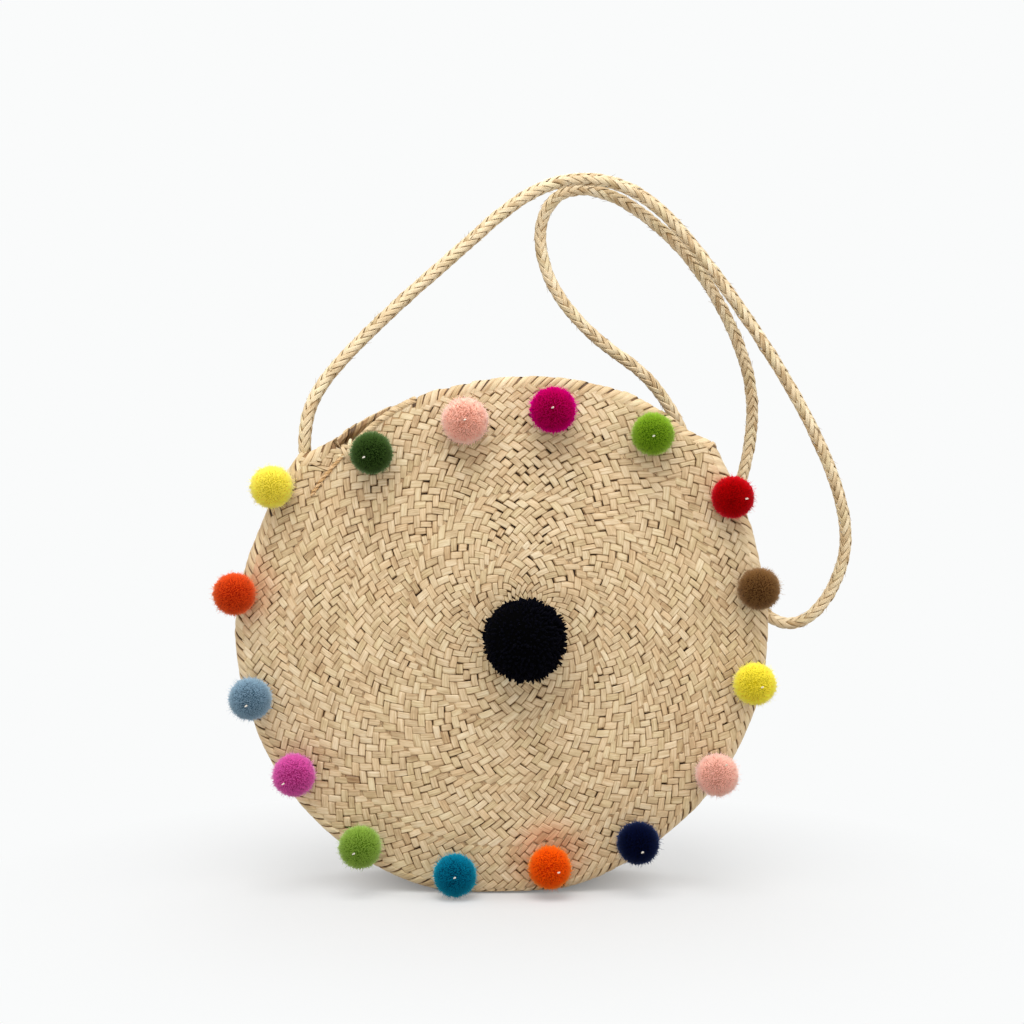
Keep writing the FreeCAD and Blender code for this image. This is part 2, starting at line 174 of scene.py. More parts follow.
# Dye that ran into the straw round a pompom: colour, reach in mm and strength
DYE_MARKS = {
    "orange": ("F39A6C", 27.0, 0.45),
    "orange_red": ("F0A088", 27.0, 0.45),
    "red": ("F0A296", 20.0, 0.4),
    "magenta": ("F0B4B4", 18.0, 0.3),
    "violet": ("EBB6C8", 17.0, 0.25)}
DYE_RISE = 4.0

# Tones of the leaf from light to dark, in sRGB
STRAW_TONES = [(0.0, "E2D1B2"), (0.35, "C7AF8A"), (0.6, "A78B65"), (0.8, "7A5A38"), (1.0, "4A3320")]
EDGING_TONES = [(0.0, "E2CFAC"), (0.4, "C8AD84"), (0.7, "94724A"), (1.0, "452E1A")]
BRAID_TONES = [(0.0, "EADBBC"), (0.4, "D2BD98"), (0.7, "A58659"), (1.0, "4E3820")]
RAFFIA_TONES = [(0.0, "DDC096"), (0.5, "BE935E"), (1.0, "7E522D")]
STREAK_SCALE = (0.045, 1.2, 40.0)
BLOTCH_SCALE = (0.11, 0.2, 40.0)

# Kind and field of a mesh attribute with so many numbers a point
ATTRIBUTE_KINDS = {1: ("FLOAT", "value"), 3: ("FLOAT_VECTOR", "vector"), 4: ("FLOAT_COLOR", "color")}
OTHER_WAY = [0, 3, 2, 1]    # corners of a quad, taken the other way round

# Studio: camera, and the paper's line from front to back as (depth, height) in mm
CAMERA_PLACE = (0.0083, -1.300, 0.2854)
CAMERA_LENS = 58.77
SENSOR_WIDTH = 36.0
PAPER_LINE = [(-2200, 0), (600, 0), (800, 6), (950, 30), (1100, 90), (1220, 190), (1300, 330), (1330, 500),
              (1340, 2600)]
PAPER_HALF_WIDTH = 2600.0
PAPER_DROP = 0.3
PAPER_GREY = "CDCDCD"
SURROUND_WHITE = "FAFBFB"
SURROUND_LIGHT = 0.42
BAG_FOOT = (0.0, 0.03, 0.0)


def linear(code):
    """Scene-linear colour of an sRGB hex code."""
    parts = [int(code[place:place + 2], 16) / 255 for place in (0, 2, 4)]
    return [part / 12.92 if part <= 0.04045 else ((part + 0.055) / 1.055) ** 2.4 for part in parts] + [1.0]


def add_node(tree, kind, inputs=(), **settings):
    """Adds a shader node with its settings; each input is a value or another node's output."""
    made = tree.nodes.new("ShaderNode" + kind)
    for name, value in settings.items():
        setattr(made, name, value)
    for socket, value in dict(inputs).items():
        if isinstance(value, bpy.types.NodeSocket):
            tree.links.new(value, made.inputs[socket])
        else:
            made.inputs[socket].default_value = value
    return made


def reckoned(tree, operation, *values, clamp=False):
    """Result of a maths node."""
    return add_node(tree, "Math", dict(enumerate(values)), operation=operation, use_clamp=clamp).outputs[0]


def ranged(tree, value, start, end, low, high):
    """A value that runs from start to end, turned into one from low to high."""
    return add_node(tree, "MapRange", {"Value": value, 1: start, 2: end, 3: low, 4: high}).outputs["Result"]


def attribute(tree, name, output="Fac"):
    """A value that is stored with the mesh."""
    return add_node(tree, "Attribute", attribute_name=name).outputs[output]


def multiplied(tree, colour, other, share=1.0):
    """A colour multiplied by another."""
    inputs = {"Fac": share, "Color1": colour, "Color2": other}
    return add_node(tree, "MixRGB", inputs, blend_type="MULTIPLY").outputs[0]


def leaf_noise(tree, leaf, scale, detail, roughness):
    """Noise drawn out along the strips of leaf."""
    place = add_node(tree, "VectorMath", {0: leaf, 1: scale}, operation="MULTIPLY").outputs[0]
    inputs = {"Vector": place, "Scale": 1.0, "Detail": detail, "Roughness": roughness}
    return add_node(tree, "TexNoise", inputs).outputs["Fac"]


def colour_ramp(tree, factor, stops):
    """A colour ramp through (place, sRGB code) stops."""
    made = add_node(tree, "ValToRGB", {"Fac": factor})
    points = made.color_ramp.elements
    while len(points) < len(stops):
        points.new(1.0)
    for point, (place, code) in zip(points, stops):
        point.position = place
        point.color = linear(code)
    return made.outputs["Color"]


def empty_material(name):
    """A material without nodes, and its node tree."""
    made = bpy.data.materials.new(name)
    made.use_nodes = True
    made.node_tree.nodes.clear()
    return made, made.node_tree


def surfaced(tree, colour, roughness, specular, **others):
    """Gives a material its surface."""
    inputs = {"Base Color": colour, "Roughness": roughness, "Specular IOR Level": specular}
    inputs.update({name.replace("_", " ").title(): value for name, value in others.items()})
    skin = add_node(tree, "BsdfPrincipled", inputs)
    add_node(tree, "OutputMaterial", {"Surface": skin.outputs["BSDF"]})


def palm_leaf(name, stops, stained=False):
    """Dried palm leaf: each strip has its own straw tone, long fibre streaks, and edges darkened partly as
    browning and partly as painted shade.
    """
    made, tree = empty_material(name)
    leaf = attribute(tree, "leaf", "Vector")
    apart = add_node(tree, "SeparateXYZ", {"Vector": leaf}).outputs
    streaks = leaf_noise(tree, leaf, STREAK_SCALE, 4.0, 0.65)
    blotches = leaf_noise(tree, leaf, BLOTCH_SCALE, 2.0, 0.5)
    # Strip edges darker: partly browned leaf, partly painted shade of the dark lines between strips
    edge_brown_and_shade = ranged(tree, reckoned(tree, "ABSOLUTE", apart["Y"]), 1.7, 2.6, 0.0, 0.14)
    tone = reckoned(tree, "ADD", attribute(tree, "tint"), ranged(tree, streaks, 0.3, 0.7, -0.17, 0.17))
    tone = reckoned(tree, "ADD", tone, ranged(tree, blotches, 0.3, 0.7, -0.10, 0.10))
    tone = reckoned(tree, "ADD", tone, edge_brown_and_shade, clamp=True)
    hue = colour_ramp(tree, apart["Z"], [(0.0, "FFF9F2"), (0.5, "FFFFFF"), (1.0, "FDFEF6")])
    colour = multiplied(tree, colour_ramp(tree, tone, stops), hue)
    if stained:
        dye = add_node(tree, "Attribute", attribute_name="dye").outputs
        colour = multiplied(tree, colour, dye["Color"], dye["Alpha"])
    ridges = add_node(tree, "Bump", {"Height": streaks, "Strength": 0.35, "Distance": 0.0002})
    surfaced(tree, colour, 0.5, 0.4, normal=ridges.outputs["Normal"])
    return made


def dull(name, code):
    """A plain rough fibre: a near-black layer that paints the shade inside the plait, and cotton thread."""
    made, tree = empty_material(name)
    fibres = add_node(tree, "TexNoise", {"Scale": 900.0, "Detail": 2.0}).outputs["Fac"]
    surfaced(tree, multiplied(tree, linear(code), ranged(tree, fibres, 0.3, 0.7, 0.75, 1.15)), 0.9, 0.2)
    return made


def wool(name, code, sheen):
    """Cut wool yarn: painted shade makes it darker and deeper in colour between the tufts, and a painted
    sheen makes it paler and fuzzy-looking towards the outline.
    """
    made, tree = empty_material(name)
    depth = attribute(tree, "tip")
    # Painted shade: darker towards the roots of the yarn ends
    shade = ranged(tree, depth, 0.0, 1.0, 0.78, 1.22)
    vary = ranged(tree, attribute(tree, "tint"), 0.0, 1.0, 0.88, 1.14)
    outline = add_node(tree, "LayerWeight", {"Blend": 0.5}).outputs["Facing"]
    light = reckoned(tree, "MULTIPLY", shade, vary)
    # Painted sheen: lighter towards the outline
    light = reckoned(tree, "MULTIPLY", light, ranged(tree, outline, 0.05, 0.85, 0.9, 1.4))
    # Painted shade: between the tufts the colour is deeper and more saturated
    deep = [part ** 1.5 for part in linear(code)]
    dyed = add_node(tree, "MixRGB", {"Fac": depth, "Color1": deep, "Color2": linear(code)}).outputs[0]
    colour = add_node(tree, "VectorMath", {0: dyed, 3: light}, operation="SCALE").outputs[0]
    fuzz = [part ** 0.35 for part in linear(code)]
    surfaced(tree, colour, 0.95, 0.03, sheen_weight=sheen, sheen_roughness=0.4, sheen_tint=fuzz)
    return made


def mesh_piece(name, points, faces, material, sharp=40.0, normals=None, dyed=False, **values):
    """A mesh object from an array of points in mm, groups of faces and attribute values for the points."""
    if dyed:
        values["dye"] = dye_at(points)
    mesh = bpy.data.meshes.new(name)
    sizes = np.concatenate([np.full(len(group), group.shape[1]) for group in faces])
    corners = np.concatenate([group.ravel() for group in faces])
    mesh.vertices.add(len(points))
    mesh.vertices.foreach_set("co", (points * MM).astype(np.float32).ravel())
    mesh.loops.add(len(corners))
    mesh.loops.foreach_set("vertex_index", corners.astype(np.int32))
    mesh.polygons.add(len(sizes))
    mesh.polygons.foreach_set("loop_start", (np.cumsum(sizes) - sizes).astype(np.int32))
    mesh.polygons.foreach_set("use_smooth", np.ones(len(sizes), dtype=bool))
    mesh.update(calc_edges=True)
    for key, value in values.items():
        kind, field = ATTRIBUTE_KINDS[value.size // len(points)]
        layer = mesh.attributes.new(key, kind, "POINT")
        layer.data.foreach_set(field, value.astype(np.float32).ravel())
    mesh.set_sharp_from_angle(angle=math.radians(sharp))
    if normals is not None:
        mesh.normals_split_custom_set_from_vertices(normals)
    mesh.materials.append(material)
    made = bpy.data.objects.new(name, mesh)
    bpy.context.scene.collection.objects.link(made)
    return made


def unit(vectors):
    """Vectors brought to length 1."""
    return vectors / np.linalg.norm(vectors, axis=-1, keepdims=True)


def run_along(line):
    """Distance along a line at each of its points."""
    return np.concatenate([[0.0], np.cumsum(np.linalg.norm(np.diff(line, axis=0), axis=1))])


def evened(line, step, fewest=2):
    """A line with its points at even steps, and the distance along it at each."""
    run = run_along(line)
    even = np.linspace(0.0, run[-1], max(int(run[-1] / step), fewest))
    return np.stack([np.interp(even, run, line[:, axis]) for axis in range(3)], -1), even


def repeated(patterns, count, size):
    """Face patterns of one strip repeated for count strips of size points."""
    steps = (np.arange(count) * size)[:, None, None]
    return [(np.asarray(pattern)[None] + steps).reshape(-1, len(pattern[0])) for pattern in patterns]


def joined(*parts):
    """Points and faces of several parts as one."""
    starts = np.cumsum([0] + [len(points) for points, faces in parts])
    groups = [group + start for (points, faces), start in zip(parts, starts) for group in faces]
    return np.concatenate([points for points, faces in parts]), groups


def grid_quads(grid):
    """Quads between the points of a grid of point numbers."""
    return np.stack([grid[:-1, :-1], grid[1:, :-1], grid[1:, 1:], grid[:-1, 1:]], -1).reshape(-1, 4)


def ring_quads(rings):
    """Quads between rings of point numbers."""
    return grid_quads(np.concatenate([rings, rings[:, :1]], 1))


def strip_patterns(along, across):
    """Faces of one closed strip: a top of along x across points, then the two edges of its underside."""
    top = np.arange(along * across).reshape(along, across)
    under = along * across + np.arange(along * 2).reshape(along, 2)
    left, right = np.stack([under[:, 0], top[:, 0]], 1), np.stack([top[:, -1], under[:, 1]], 1)
    quads = [grid_quads(grid) for grid in (top, under[:, ::-1], left, right)]
    ends = np.stack([np.concatenate([[under[0, 1], under[0, 0]], top[0]]),
                     np.concatenate([[under[-1, 0], under[-1, 1]], top[-1, ::-1]])])
    return [np.concatenate(quads), ends]


def slab_patterns(along, across):
    """Faces of one closed slab: a top of along x across points, then an underside of as many."""
    top = np.arange(along * across).reshape(along, across)
    under = top + top.size
    rim = np.concatenate([top[0], top[1:, -1], top[-1, -2::-1], top[-2:0:-1, 0]])
    after = np.roll(rim, -1)
    sides = np.stack([rim, after, after + top.size, rim + top.size], -1)
    return [np.concatenate([grid_quads(top), grid_quads(under[:, ::-1]), sides])]


def sweep(lines, normals, wide, thick, sides=8, square=1.0):
    """Points and faces of closed tubes along many lines, with half sizes wide and thick across them."""
    tangents = unit(np.gradient(lines, axis=1))
    normals = unit(normals - (normals * tangents).sum(-1, keepdims=True) * tangents)
    sideways = np.cross(tangents, normals)
    turn = 2 * np.pi * np.arange(sides) / sides
    over = np.sign(np.cos(turn)) * np.abs(np.cos(turn)) ** square
    up = np.sign(np.sin(turn)) * np.abs(np.sin(turn)) ** square
    wide = np.broadcast_to(wide, lines.shape[:2])[:, :, None, None]
    thick = np.broadcast_to(thick, lines.shape[:2])[:, :, None, None]
    rings = (lines[:, :, None] + wide * over[:, None] * sideways[:, :, None]
             + thick * up[:, None] * normals[:, :, None])
    index = np.arange(lines.shape[1] * sides).reshape(-1, sides)
    caps = np.stack([index[0], index[-1][::-1]])
    return rings.reshape(-1, 3), repeated([ring_quads(index), caps], len(lines), index.size)


def strand_leaf(along, half_width, own, sides=8):
    """Leaf coordinates of swept strands: run along them, place across them and a number of their own."""
    across = np.cos(2 * np.pi * np.arange(sides) / sides) * half_width
    return np.stack(np.broadcast_arrays(along[None, :, None], across, np.reshape(own, (-1, 1, 1))), -1)


def strand_piece(name, lines, outs, wide, thick, square, along, own, tints, material):
    """Mesh of swept strands of leaf or raffia, with a number of its own and a tint for each."""
    points, faces = sweep(lines, outs, wide, thick, square=square)
    leaf = strand_leaf(along, 2.3, own)
    tint = np.broadcast_to(np.reshape(tints, (-1, 1, 1)), leaf.shape[:3])
    return mesh_piece(name, points, faces, material, leaf=leaf.reshape(-1, 3), tint=tint.ravel())


def layer_piece(name, points, faces, run, tint, material):
    """Mesh of a plain layer of leaf, with the run along it at each point and one tint."""
    leaf = np.zeros((len(points), 3))
    leaf[:, 0] = run
    return mesh_piece(name, points, faces, material, leaf=leaf, tint=np.full(len(points), tint))


def settled(points):
    """Points eased up onto the floor where the round bag stands on it."""
    points[..., 2] = FLOOR_EASE * np.logaddexp(0.0, points[..., 2] / FLOOR_EASE)
    return points


def face_place(across, above, lift):
    """Points over the front face from places in its unrolled plane, which goes on along the side wall."""
    spread = np.hypot(across, above)
    on_dome = spread < DOME_REACH
    lean = np.where(on_dome, spread / DOME_RADIUS, DOME_LEAN + (spread - DOME_REACH) / SHOULDER_RADIUS)
    lean = np.minimum(lean, math.pi / 2)
    plan = np.where(on_dome, DOME_RADIUS * np.sin(lean), SHOULDER_CENTRE + SHOULDER_RADIUS * np.sin(lean))
    depth = np.where(on_dome, DOME_CENTRE_DEPTH - DOME_RADIUS * np.cos(lean),
                     -RIM_DEPTH - SHOULDER_RADIUS * np.cos(lean))
    depth = depth + np.maximum(spread - RIM_REACH, 0.0) - lift * np.cos(lean)
    share = (plan + lift * np.sin(lean)) / np.maximum(spread, 1e-6)
    return settled(np.stack([across * share, depth, CENTRE_HEIGHT + above * share], -1))


def unrolled(plan):
    """Distance along the face's skin from its centre to a distance seen from the front."""
    over = np.clip((plan - SHOULDER_CENTRE) / SHOULDER_RADIUS, -1.0, 1.0)
    dome = DOME_RADIUS * np.arcsin(np.minimum(plan / DOME_RADIUS, 1.0))
    return np.where(plan < DOME_RADIUS * math.sin(DOME_LEAN), dome,
                    DOME_REACH + SHOULDER_RADIUS * (np.arcsin(over) - DOME_LEAN))


def face_edge():
    """Edge of the front face clockwise from the slit, unrolled; and where lip, rim and ear end along it."""
    corner = math.radians(LIP_END_ANGLE)
    sink = DISC_RADIUS * math.cos(corner)
    half = DISC_RADIUS * math.sin(corner)
    lip_radius = (half ** 2 + (LIP_TOP - sink) ** 2) / (2 * (LIP_TOP - sink))
    lip_height = LIP_TOP - lip_radius
    way = np.subtract(SLACK_LIP_END, SLIT_HEAD)
    from_middle = np.subtract(SLIT_HEAD, (0.0, lip_height))
    size = np.roots([way @ way, 2 * way @ from_middle, from_middle @ from_middle - lip_radius ** 2]).max()
    share = np.linspace(0.0, 1.0, 24)[:, None]
    arch = np.array([-way[1], way[0]]) / np.linalg.norm(way) * SLACK_LIP_ARCH
    slack = SLIT_HEAD + share * size * way + np.sin(np.pi * share) * arch
    first = math.asin(slack[-1, 0] / lip_radius)
    last = math.asin(half / lip_radius)
    swing = np.linspace(first, last, 90)[1:]
    lip = np.stack([lip_radius * np.sin(swing), lip_height + lip_radius * np.cos(swing)], -1)
    swing = np.radians(np.linspace(LIP_END_ANGLE, EAR_FOOT_ANGLE, 420))[1:]
    rim = np.stack([DISC_RADIUS * np.sin(swing), DISC_RADIUS * np.cos(swing)], -1)
    ear = np.linspace(rim[-1], EAR_TOP, 14)[1:]
    seen = np.concatenate([slack, lip, rim, ear])
    plan = np.hypot(seen[:, 0], seen[:, 1])
    edge = seen * (unrolled(np.minimum(plan, DISC_RADIUS)) / plan)[:, None]
    run = run_along(edge)
    marks = np.cumsum([len(slack) - 1, len(lip), len(rim), len(ear)])
    return edge, run, run[marks]


EDGE, EDGE_RUN, (SLACK_RUN, LIP_RUN, RIM_RUN, EAR_RUN) = face_edge()
EDGE_TABLE = np.concatenate([EDGE, unit(np.gradient(EDGE, EDGE_RUN, axis=0))], 1).T


def edge_place(run, inward, lift):
    """Points at a run along the front face's edge and a distance in from it."""
    across, above, way_across, way_above = [np.interp(run, EDGE_RUN, values) for values in EDGE_TABLE]
    return face_place(across + inward * way_above, above - inward * way_across, lift)


def spiral_tables():
    """Leaf count, turn, inner and outer radius and width along the plait, which ends at the face's edge."""
    offset = EDGE - np.array([float(unrolled(np.array(1.0))) * value for value in SPIRAL_MIDDLE])
    bearing = np.unwrap(np.arctan2(offset[:, 0], offset[:, 1]))
    reach = np.hypot(offset[:, 0], offset[:, 1])
    turns = np.linspace(SPIRAL_FIRST_TURN, SPIRAL_TURNS, 2400)
    first_bearing = (SPIRAL_TURNS - math.floor(SPIRAL_TURNS)) - 1.0
    phase = (turns - first_bearing) % 1.0 + first_bearing
    edge_reach = np.interp(phase * 2 * np.pi, bearing, reach)
    whole = SPIRAL_START + SPIRAL_RISE * (SPIRAL_TURNS - 1.0 + phase - first_bearing)
    scale = edge_reach / whole
    first_whole = SPIRAL_START + SPIRAL_RISE * (SPIRAL_TURNS - 1.0)
    start = np.interp(first_bearing * 2 * np.pi, bearing, reach) / first_whole
    tail = np.clip((phase - TAIL_BEARING) / (first_bearing + 1.0 - TAIL_BEARING), 0.0, 1.0)
    before_tail = np.interp(TAIL_BEARING, phase[-600:], scale[-600:])
    scale = np.where(tail > 0.0, before_tail + (start - before_tail) * tail, scale)
    inner = np.maximum((SPIRAL_START + SPIRAL_RISE * (turns - 1.0)) * scale, 0.5)
    outer = np.maximum((SPIRAL_START + SPIRAL_RISE * turns) * scale, 1.0)
    in_tail = (turns > SPIRAL_TURNS - 1.0) & (tail > 0.0)
    outer = np.where(in_tail, edge_reach, outer)
    width = np.where(in_tail, (outer - inner)[~in_tail][-1], outer - inner)
    even = np.maximum(inner + 0.65 * (outer - inner), 0.82 * outer)
    step = np.hypot(even[:-1] * np.diff(turns) * 2 * np.pi, np.diff(even))
    leaves = np.concatenate([[0.0], np.cumsum(step)]) / LEAF_PITCH
    return leaves, turns, inner, outer, width


SPIRAL_LEAVES, *SPIRAL_TABLE = spiral_tables()
LAST_LEAF = int(SPIRAL_LEAVES[-1])
MID_LEAF = LAST_LEAF // 2
LAST_SEAM = float(np.interp(SPIRAL_TURNS - 1.0, SPIRAL_TABLE[0], SPIRAL_LEAVES))


def at_leaf(along):
    """Turn, inner and outer radius and width of the plait at a leaf count along it."""
    return [np.interp(along, SPIRAL_LEAVES, values) for values in SPIRAL_TABLE]


def spiral_place(along, column, lift):
    """Points of the face at a leaf count along the spiral plait and a column across it."""
    turn, inner, outer, width = at_leaf(along)
    radius = np.maximum(outer - width * (1.0 - column / PLAIT_COLUMNS), inner - 2.0)
    across = SPIRAL_MIDDLE[0] + radius * np.sin(turn * 2 * np.pi)
    above = SPIRAL_MIDDLE[1] + radius * np.cos(turn * 2 * np.pi)
    return face_place(across, above, lift)


def lining_place(along, column, lift):
    """Points of the face's inner side, whose strips stop short of the face's edge."""
    at_edge = at_leaf(along)[0] > EDGE_TURN
    return spiral_place(along, np.where(at_edge, np.minimum(column, PLAIT_COLUMNS - 0.4), column), lift)


def cut_off(middle, column):
    """Strips left out where the slit cuts the plait off."""
    turn, inner, outer, width = at_leaf(middle)
    no_room = width * (1.0 - (column + 0.5) / PLAIT_COLUMNS) > outer - inner
    return no_room | (turn > SPIRAL_TURNS - 0.004)


def left_to_selvedge(middle, column):
    """Strips left out on the outside: those the slit cuts off, and the outermost, where the selvedge lies."""
    turn = at_leaf(middle)[0]
    bearing = turn % 1.0 * 360.0
    at_rim = (bearing > LIP_END_ANGLE) & (bearing < EAR_FOOT_ANGLE - 6.0)
    return cut_off(middle, column) | (turn > EDGE_TURN) & (column >= PLAIT_COLUMNS - 1 - at_rim)


def wall_place(along, column, lift):
    """Points of the side wall at a leaf count along it from its right end and a column across it."""
    along = np.clip(along, 0.25, WALL_LEAVES - 0.25)
    turn = math.radians(SIDE_WALL_END) + along * LEAF_PITCH / DISC_RADIUS
    radius = DISC_RADIUS + lift
    depth = SIDE_WALL_WIDTH * (column / WALL_COLUMNS - 0.5)
    return settled(np.stack([radius * np.sin(turn), depth, CENTRE_HEIGHT + radius * np.cos(turn)], -1))


def wall_end_place(run, inward, lift):
    """Points at a run across the side wall's right end and a distance in from it."""
    turn = math.radians(SIDE_WALL_END) + inward / DISC_RADIUS
    radius = DISC_RADIUS + lift
    depth = run - SIDE_WALL_WIDTH / 2
    return np.stack([radius * np.sin(turn), depth, CENTRE_HEIGHT + radius * np.cos(turn)], -1)


def middle_and_size(node):
    """Middle and size in mm of a solid's box."""
    low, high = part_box(node)
    return (high + low) * 500.0, (high - low) * 1000.0


def dye_at(points):
    """Colour and strength of the dye at points of the front face."""
    dye = np.zeros((len(points), 4))
    dye[:, :3] = 1.0
    for name, (code, reach, strength) in DYE_MARKS.items():
        middle = middle_and_size("pompom_" + name)[0]
        away = np.hypot(points[:, 0] - middle.x, points[:, 2] - middle.z - DYE_RISE)
        mark = strength * np.exp(-(away / reach) ** 4)
        stronger = mark > dye[:, 3]
        dye[stronger, :3] = linear(code)[:3]
        dye[stronger, 3] = mark[stronger]
    return dye


def strip_mesh(name, place, along, over, lift, thick, leaf, tints, material, under_shade=0.0, **settings):
    """Many strips as one mesh: each has a grid of points on top and the two edges of its underside."""
    count = len(along)
    edges = np.s_[:, :, ::len(STRIP_ACROSS) - 1]

    def with_under(top, under):
        size = (count, -1) + top.shape[3:]
        return np.concatenate([top.reshape(size), under.reshape(size)], 1)

    points = with_under(place(along, over, lift), place(along[edges], over[edges], lift[edges] - thick))
    patterns = strip_patterns(along.shape[1], len(STRIP_ACROSS))
    if thick < 0:
        patterns = [pattern[:, ::-1] for pattern in patterns]
    faces = repeated(patterns, count, points.shape[1])
    leaf = with_under(leaf, leaf[edges]).reshape(-1, 3)
    # Undersides of the strips get a painted shade added to their tint
    tints = with_under(tints, tints[edges] + under_shade).ravel()
    return mesh_piece(name, points.reshape(-1, 3), faces, material, leaf=leaf, tint=tints, **settings)


def plaited(name, place, first, last, columns, material, seed, skip=None, level=0.0, side=1.0):
    """Twill plait of leaf strips: each column leans the other way and its strips dive under the next ones."""
    chance = np.random.default_rng(seed)
    column = np.repeat(np.arange(columns), last - first)
    middle = np.tile(np.arange(first, last), columns) + 0.5 * (column % 2)
    if skip is not None:
        keep = ~skip(middle, column)
        middle, column = middle[keep], column[keep]
    count = len(middle)
    even = column % 2 == 0
    way = np.where(even, 1.0, -1.0)[:, None, None]
    strand = np.where(even, np.round(middle - column), np.round(middle + column) + 5000).astype(int)
    tint = PLAIT_TINT + chance.normal(0.0, STRAND_SPREAD, 20000)[strand % 20000]
    tint = tint + chance.normal(0.0, LEAF_SPREAD, count)
    tint = tint + np.where(chance.random(count) < 0.03, 0.10, 0.0)
    stretched, widened, turned, raised, rolled, pitched = chance.normal(0.0, 1.0, (6, count, 1, 1))
    spot = place(middle, column + 0.5, np.zeros(count))
    from_loose = np.hypot(spot[:, 0] - LOOSE_SPOT[0], spot[:, 2] - LOOSE_SPOT[1])
    loose = np.exp(-from_loose ** 2 / LOOSE_REACH ** 2)
    short = np.where(chance.random(count) < 0.04 + 0.14 * loose, 0.78 - 0.08 * loose, 1.0)[:, None, None]
    u = STRIP_ALONG[None, :, None] * (1.0 + 0.04 * stretched) * short
    v = STRIP_ACROSS[None, None, :] * np.clip(1.0 + 0.05 * widened, 0.84, 1.07)
    turn = 0.04 * turned
    ahead = 0.5 * u - way * 0.25 * v
    out = way * 0.5 * u + 0.25 * v
    along = middle[:, None, None] + ahead - turn * out
    over = column[:, None, None] + 0.5 + out + turn * ahead
    past = chance.uniform(0.12, 0.42, (count, 1, 1))
    held = np.clip(over, -past, columns + past)
    beyond = np.maximum(-held, held - columns)
    lift = (STRIP_DIVE[None, :, None] + STRIP_EDGE[None, None, :] + 0.12 * raised + 0.12 * rolled * v
            + 0.10 * pitched * u - 1.1 * np.abs(over - held) - 1.8 * np.maximum(beyond, 0.0))
    lift = np.minimum(lift, 0.8)
    # Where a strip sinks under its neighbours, its tint gets a painted shade
    sunk_shade = np.clip((-0.12 - lift) / 0.9, 0.0, 1.0)
    tints = tint[:, None, None] + SUNK_PAINTED_SHADE * sunk_shade
    length = u * 5.0 + 200.0 * chance.random((count, 1, 1))
    own = chance.random((count, 1, 1))
    leaf = np.stack(np.broadcast_arrays(length, STRIP_ACROSS * 2.5, own), -1)
    return strip_mesh(name, place, along, held, level + side * lift, side * LEAF_THICKNESS, leaf, tints,
                      material, under_shade=UNDERSIDE_PAINTED_SHADE, sharp=25.0, dyed=True)


def selvedge(name, place, first, last, path, material, seed, spacing, width):
    """Slanted strips laid side by side along an edge; path gives their distance in from it and their lift."""
    chance = np.random.default_rng(seed)
    count = int((last - first) / spacing)
    path = np.array(path)
    travel = run_along(path)
    shifted, slanted, widened, inset, raised = chance.normal(0.0, 1.0, (5, count, 1, 1))
    start = first + (np.arange(count)[:, None, None] + 0.035 * shifted) * (last - first) / count
    cot = 1.0 / np.tan(np.radians(SELVEDGE_SLANT + 2.0 * slanted))
    v = STRIP_ACROSS[None, None, :] * np.clip(1.03 + 0.04 * widened, 0.9, 1.1)
    run = start + travel[None, :, None] * cot - v * width / 2 / math.sin(math.radians(SELVEDGE_SLANT))
    run = np.clip(run, first - 8.0, last + 8.0)
    inward = path[None, :, None, 0] + 0.5 * inset
    lift = path[None, :, None, 1] + STRIP_EDGE[None, None, :] * 1.2 + 0.14 * v + 0.14 * raised
    tints = EDGING_TINT + chance.normal(0.0, EDGING_SPREAD, (count, 1, 1))
    # The outermost sides of each strip get a painted shade: the dark lines between the strips
    tints = tints + EDGING_SIDE_PAINTED_SHADE * (np.abs(STRIP_ACROSS) > 0.9)
    length = travel[None, :, None] + 200.0 * chance.random((count, 1, 1))
    own = chance.random((count, 1, 1))
    leaf = np.stack(np.broadcast_arrays(length, v * 2.4, own), -1)
    run, inward, lift, tints = np.broadcast_arrays(run, inward, lift, tints)
    return strip_mesh(name, place, run, inward, lift, SELVEDGE_THICKNESS, leaf, tints, material)


def edge_band(name, place, first, last, path, material, tint):
    """The filled edge under a selvedge: a band of one section along the edge, in one dark tint that paints
    the shade between the selvedge strips.
    """
    run = np.linspace(first, last, max(int((last - first) / 3.0), 4))
    inward, lift = np.array(path).T
    top = place(*np.broadcast_arrays(run[:, None], inward, lift))
    points = np.concatenate([top.reshape(-1, 3), top[:, ::len(path) - 1].reshape(-1, 3)])
    runs = np.concatenate([np.repeat(run, len(path)), np.repeat(run, 2)])
    return layer_piece(name, points, strip_patterns(len(run), len(path)), runs, tint, material)


def backing(name, place, last, span, material, outer=-1.15, inner=-2.75):
    """A layer in the thickness of the plait between two columns, seen only in the holes between strips; in
    the dark material it is painted shade there.
    """
    along = np.linspace(0, last, int(last * 1.5))[:, None]
    along, over = np.broadcast_arrays(along, np.linspace(*span, 9))
    sides = [place(along, over, np.full(along.shape, lift)).reshape(-1, 3) for lift in (outer, inner)]
    runs = np.tile(along.ravel(), 2) * LEAF_PITCH
    return layer_piece(name, np.concatenate(sides), slab_patterns(*along.shape), runs, 0.5, material)


